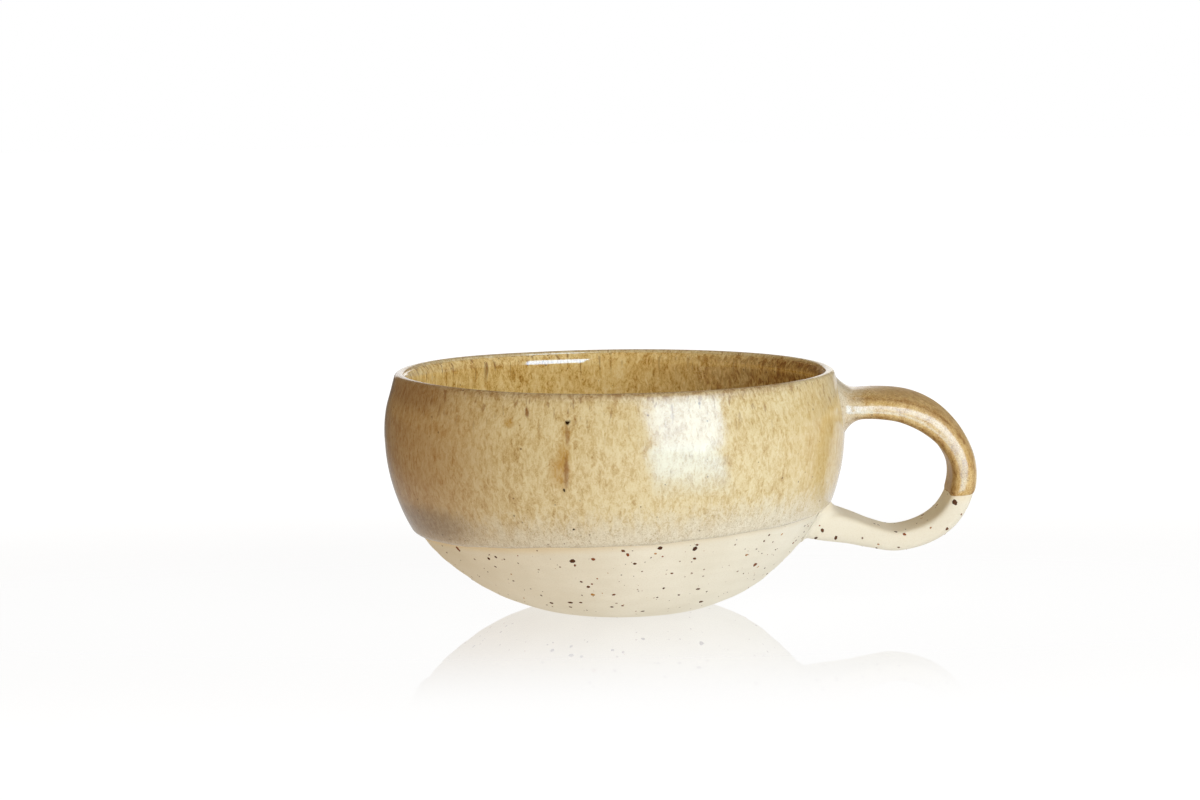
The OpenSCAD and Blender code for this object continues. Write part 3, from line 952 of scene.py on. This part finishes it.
# Places of the larger specks on the front, as (x, height, diameter)
FRONT_SPECKS = [
    (-35, 16.6, 1.8), (-37.7, 14.6, 0.8), (-28, 15.1, 0.9), (-27.8, 16.2, 0.5), (-24.5, 15.4, 0.5),
    (-28.5, 11.4, 0.7), (-30.8, 9.4, 0.5), (-23.2, 11.6, 0.7), (-23, 9.7, 0.6), (-17.3, 6.4, 0.8),
    (-15.4, 4.6, 1), (-15.4, 3.6, 0.6), (-11.1, 5.1, 1.3), (-11.3, 3.9, 1), (-8.8, 5.2, 0.9),
    (-7.8, 3.2, 0.6), (-2.1, 4.2, 0.9), (0.3, 4.5, 0.7), (4.5, 2.8, 1.1), (3, 2.9, 0.5),
    (-9.5, 16, 1.5), (-9, 14.8, 0.8), (-5, 16.5, 1.3), (-4.3, 11.5, 0.8), (-6.5, 9.2, 1.3),
    (-5.6, 10, 0.6), (-5.8, 7.2, 1.1), (-1.2, 7.2, 0.9), (1.5, 18.4, 0.9), (2.5, 17.4, 1.1),
    (4, 15.2, 0.8), (9.5, 18.9, 1.3), (8.5, 17.5, 0.7), (7.5, 16.6, 0.6), (17, 18.1, 1.4),
    (17.5, 19.1, 0.9), (17, 15.7, 0.9), (12, 12.3, 0.7), (14.8, 11.2, 0.5), (9.9, 8.5, 1.1),
    (8.2, 6.3, 0.8), (13, 6.5, 0.9), (17.4, 7.5, 1), (19.2, 6.6, 0.6), (17.7, 4.1, 1.5),
    (26.5, 11, 0.7), (28.5, 15.1, 0.8), (30.5, 11.9, 1.8), (31.2, 11.2, 1), (32, 14.8, 0.5),
    (33.3, 14.2, 0.5), (34.4, 14, 0.4), (35.2, 15, 0.5), (34.8, 13.6, 0.4), (32.8, 10.2, 0.5),
    (32.4, 18, 0.7), (34.4, 17.3, 0.6), (33.5, 19.4, 1), (36.5, 18.9, 0.8), (39.5, 15.4, 0.7)]
# Places of the larger specks on the strap's front, in the same form
HANDLE_SPECKS = [
    (76.8, 22.5, 1.4), (78.1, 19.7, 0.6), (75.1, 16.3, 0.9), (71.1, 16.8, 0.6), (65.4, 15.3, 0.8),
    (55.9, 14.7, 0.6), (59.5, 12.9, 0.6), (64, 12.3, 0.6), (49.7, 14.8, 1.1), (46.4, 16.7, 1.1),
    (46, 18.1, 0.6)]
# How much of its listed size such a speck has
LISTED_SHARE = 0.9
# How many specks the bowl has with the listed ones, and the strap beside them
BOWL_SPECKS = 330
STRAP_SPECKS = 34
# Heights of the bowl's random specks, and the angles between which they lie on its front
SPECK_Z = (2.5, 22)
FRONT = (-2.6, -0.5)
# Sizes of random specks: the least, the most that is added to it, and how rare much of that is
ON_FRONT = (0.2, 0.5, 6)
ELSEWHERE = (0.2, 0.8, 3)
ON_STRAP = (0.25, 0.8, 2.5)
# Rings of one speck: share of its radius, and height
SPECK_RINGS = ((0, 0.05), (0.55, 0.045), (1, -0.02), (0.5, -0.12), (0, -0.12))
SPECK_SIDES = 14


def grown(least, most, rarity):
    return least + most * rng.random() ** rarity


def add_speck(rows, point, facing, size, stretch):
    """A low melted dome on the surface: rings of points from its middle outwards and back."""
    facing = units(np.array(facing))
    side = units(np.cross(facing, [0.1, 0.2, 1]))
    up = np.cross(side, facing)
    turn = angles(SPECK_SIDES)
    lean = rng.uniform(0, math.pi)
    radius = size / 2 * np.array([rng.uniform(0.8, 1.15) for _ in turn])
    a, b = np.cos(turn) * stretch, np.sin(turn) / stretch
    a, b = a * math.cos(lean) - b * math.sin(lean), a * math.sin(lean) + b * math.cos(lean)
    for reach, lift in SPECK_RINGS:
        spread = side * (a * radius * reach)[:, None] + up * (b * radius * reach)[:, None]
        rows.append(point + spread + facing * lift)


def bowl_place(turn, height):
    """A point on the bare bowl at an angle and a height, and the way it faces."""
    radius = radius_at(height)
    flat = np.array([[radius, height], [radius - WALL_C[0], height - BELLY_Z]])
    return spun(flat, np.full(2, turn))


def make_specks(strap, material):
    rows = []
    for x, height, size in FRONT_SPECKS:
        place = bowl_place(-math.acos(x / radius_at(height)), height)
        add_speck(rows, *place, LISTED_SHARE * size, rng.uniform(1, 1.25))
    while len(rows) < len(SPECK_RINGS) * BOWL_SPECKS:
        turn = rng.uniform(-math.pi, math.pi)
        point, facing = bowl_place(turn, rng.uniform(*SPECK_Z))
        size = grown(*(ON_FRONT if FRONT[0] < turn < FRONT[1] else ELSEWHERE))
        if above_dip(point) < -0.6:
            add_speck(rows, point, facing, size, rng.uniform(1, 1.3))
    points, facing = strap.surface, strap.facing()
    bare = (above_dip(points) < -0.8) & (bowl_gap(points) > 0.3)
    front = np.argwhere(bare & (facing[..., 1] < -0.6))
    for x, height, size in HANDLE_SPECKS:
        away = [np.hypot(*(points[i, k, ::2] - (x, height))) for i, k in front]
        i, k = front[np.argmin(away)]
        add_speck(rows, points[i, k], facing[i, k], LISTED_SHARE * size, rng.uniform(1, 1.3))
    rest = np.argwhere(bare & (facing[..., 1] > -0.6))
    for _ in range(STRAP_SPECKS):
        i, k = rest[rng.randrange(len(rest))]
        size = grown(*ON_STRAP)
        add_speck(rows, points[i, k], facing[i, k], size, rng.uniform(1, 1.4))
    bands = band_faces(len(SPECK_RINGS), SPECK_SIDES, False)
    faces = np.concatenate([bands + i * SPECK_SIDES for i in range(0, len(rows), len(SPECK_RINGS))])
    mesh = closed_mesh("iron_specks", hand_made(np.array(rows)), faces)
    made = new_object("iron_specks", mesh, material)
    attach(made, "root")


# Camera, floor and light

IMAGE_W = 1200
FOCAL_PX = 3310
SENSOR_MM = 36
EYE = Vector((0, -750, 130.3 + LIFT)) * MM
AIM = Vector((0, 0, 25 + LIFT)) * MM
# Where the aimed point lies in the picture, off its middle, in pixels
AIM_RIGHT = 15.4
AIM_DOWN = 91.3
ROLL = math.radians(0.78)
WHITE = (1, 1, 1, 1)
# Lit panels: name, place, height faced, width, height, brightness of the face, colour, and whether
# it only shows in gloss
LAMPS = [
    ("key_light", (0.524, -0.731, 0.373), 0.03, 0.65, 0.72, 3.6),
    ("key_shine", (0.517, -0.720, 0.300), 0, 0.60, 0.60, 8, (0.47, 0.71, 1), True),
    ("side_fill", (0.50, -0.15, 0.55), 0.05, 0.30, 0.30, 1.7),
    ("front_fill", (-0.25, -0.95, 0.14), 0.03, 0.6, 0.24, 2, (1, 0.93, 0.80)),
    ("left_fill", (-0.90, -0.45, 0.12), 0.03, 0.8, 0.2, 2.8, (1, 0.70, 0.36)),
    ("back_fill", (-0.2, 0.9, 0.5), 0.03, 0.6, 0.5, 1.6, (1, 0.88, 0.70))]
# Half the table's width
TABLE_HALF = 3
# How strongly the table mirrors the cup, from the nearest to the farthest distance that it does
MIRROR = 0.44
MIRROR_REACH = (16, 118)
# How much a distance to the side counts on the table
SIDE_SHARE = 0.35
# The key light's pool on the table, in gloss: its bearings, the distances where it comes in, its
# brightness and its colour
POOL_SPAN = ((0.23, 0.30), (0.80, 0.90))
POOL_REACH = (90, 190)
KEY_POOL = 6.4
POOL_TINT = (0.4, 0.70, 1, 1)
TABLE_WARM = (1, 0.75, 0.48, 1)
ROOM_WARM = (1, 0.72, 0.44, 1)
ROOM_PALE = (1, 0.97, 0.92, 1)
# The white card behind the cup in its reflections: the directions that it spans, and its brightness
CARD_X = ((-0.30, -0.22), (0.16, 0.24))
CARD_Z = ((-0.05, 0.01), (0.26, 0.34))
BACK_CARD = 1.05


def make_camera():
    lens = bpy.data.cameras.new("camera")
    lens.sensor_width = SENSOR_MM
    lens.lens = FOCAL_PX * SENSOR_MM / IMAGE_W
    lens.clip_start = 0.01
    camera = added("camera", lens)
    aimed = (AIM - EYE).to_track_quat("-Z", "Y").to_matrix().to_4x4()
    lowered = Matrix.Rotation(math.atan(AIM_DOWN / FOCAL_PX), 4, "X")
    framed = lowered @ Matrix.Rotation(math.atan(AIM_RIGHT / FOCAL_PX), 4, "Y")
    camera.matrix_world = Matrix.Translation(EYE) @ aimed @ Matrix.Rotation(-ROLL, 4, "Z") @ framed
    bpy.context.scene.camera = camera


def softbox(name, place, aim, width, height, level, colour=(1, 1, 1), shines=False):
    """A lit panel that faces a height on the bowl's axis."""
    lamp = bpy.data.lights.new(name, "AREA")
    lamp.shape = "RECTANGLE"
    lamp.size, lamp.size_y = width, height
    lamp.energy = level * math.pi * width * height
    lamp.color = colour
    panel = added(name, lamp)
    panel.location = place
    panel.rotation_euler = (Vector((0, 0, aim)) - Vector(place)).to_track_quat("-Z", "Y").to_euler()
    panel.visible_camera = False
    panel.visible_diffuse = not shines
    panel.visible_glossy = shines


def make_floor():
    """A white lit table that faintly mirrors the cup close by and keeps its shadow."""
    s = Shader(bpy.data.materials.new("white_table"))
    place = s.place()
    x, y, _ = s.split(place)
    away = s.vector("LENGTH", {0: s.stretch(place, (SIDE_SHARE, 1, 1))}, "Value")
    path = s.path()
    mirrored = s.math("MAXIMUM", path["Is Glossy Ray"], path["Is Transmission Ray"])

    def lit(strength, diffuse, colour=WHITE):
        glow = s.node("Emission", {"Color": colour, "Strength": strength})
        matt = s.node("BsdfDiffuse", {"Color": (diffuse,) * 3 + (1,)})
        return s.node("AddShader", {0: glow, 1: matt})

    side = s.ease(x, -160, 60)
    lighting = lit(s.ease(side, 0, 1, 0.33, 0.70), 0.25, s.mix(side, TABLE_WARM, WHITE))
    shown = lit(s.ease(away, 60, 260, 0.92, 1.02), 0.10)
    bearing = s.math("ARCTAN2", x, s.times(y, -1))
    reach = s.vector("LENGTH", {0: place}, "Value")
    pool = s.times(s.within(bearing, *POOL_SPAN), s.ease(reach, *POOL_REACH, 0, KEY_POOL))
    level = s.math("ADD", pool, s.ease(x, -200, 40, 0.06, 0.75))
    reflected = lit(level, 0.10, s.mix(pool, WHITE, POOL_TINT))
    base = s.either(mirrored, s.either(path["Is Camera Ray"], lighting, shown), reflected)
    gloss = s.node("BsdfGlossy", {"Color": WHITE, "Roughness": 0})
    mirror = s.times(s.ease(away, *MIRROR_REACH, MIRROR, 0), path["Is Camera Ray"])
    s.feed(s.out.inputs[0], s.either(mirror, base, gloss))
    corners = [(-1, -1), (1, -1), (1, 1), (-1, 1)]
    mesh = bpy.data.meshes.new("table")
    mesh.from_pydata([(a * TABLE_HALF, b * TABLE_HALF, 0) for a, b in corners], [], [(0, 1, 2, 3)])
    new_object("table", mesh, s.owner)


def make_world():
    """White to the camera. Else a dim room, brighter on the right, with a white card behind in gloss."""
    s = Shader(bpy.data.worlds.new("studio"), "OutputWorld")
    bpy.context.scene.world = s.owner
    x, y, z = s.split(s.node("TexCoord", {}, "Generated"))
    path = s.path()
    side = s.ease(x, -0.6, 0.7)
    level = s.math("ADD", s.ease(side, 0, 1, 0.18, 0.32), s.ease(z, 0.35, 1, 0, 0.08))
    tint = s.mix(side, ROOM_WARM, ROOM_PALE)
    card = s.times(s.within(x, *CARD_X), s.within(z, *CARD_Z),
                   s.ease(y, 0, 0.5, 0, BACK_CARD), path["Is Glossy Ray"])
    inputs = {"Color": s.mix(card, tint, WHITE), "Strength": s.math("ADD", level, card)}
    room = s.node("Background", inputs)
    seen = s.node("Background", {"Color": WHITE, "Strength": 1})
    looks = s.math("MAXIMUM", path["Is Camera Ray"], path["Is Singular Ray"])
    s.feed(s.out.inputs[0], s.either(looks, room, seen))


make_camera()
make_world()
make_floor()
for panel in LAMPS:
    softbox(*panel)

bare_clay = clay()
strap = Strap()
make_bowl(bare_clay)
piece("handle_clay", strap.capped(), bare_clay, "handle")
make_slip("upper_slip", strap.surface[1], UPPER_WAY, -1, 0.15, "upper_slip_joint", bare_clay)
make_slip("lower_slip", strap.surface[-2], LOWER_WAY, 0.5, 0.22, "lower_slip_joint", bare_clay)
make_outside_glaze(glaze("honey_glaze", HONEY, 0.8, GLAZE_MARKS, PINHOLES, runs=0.5))
make_inside_glaze(glaze("lining_glaze", RUSSET, runs=0.7, run_scale=0.8, rough=(0.05, 0.09),
                        relief_depth=0.02, ior=1.9))
make_handle_glaze(strap, glaze("handle_honey_glaze", AMBER, 0.75, grainy=0.40, rough=(0.15, 0.24),
                               relief_depth=0.03))
make_specks(strap, iron())

bpy.context.scene.view_settings.view_transform = "Standard"
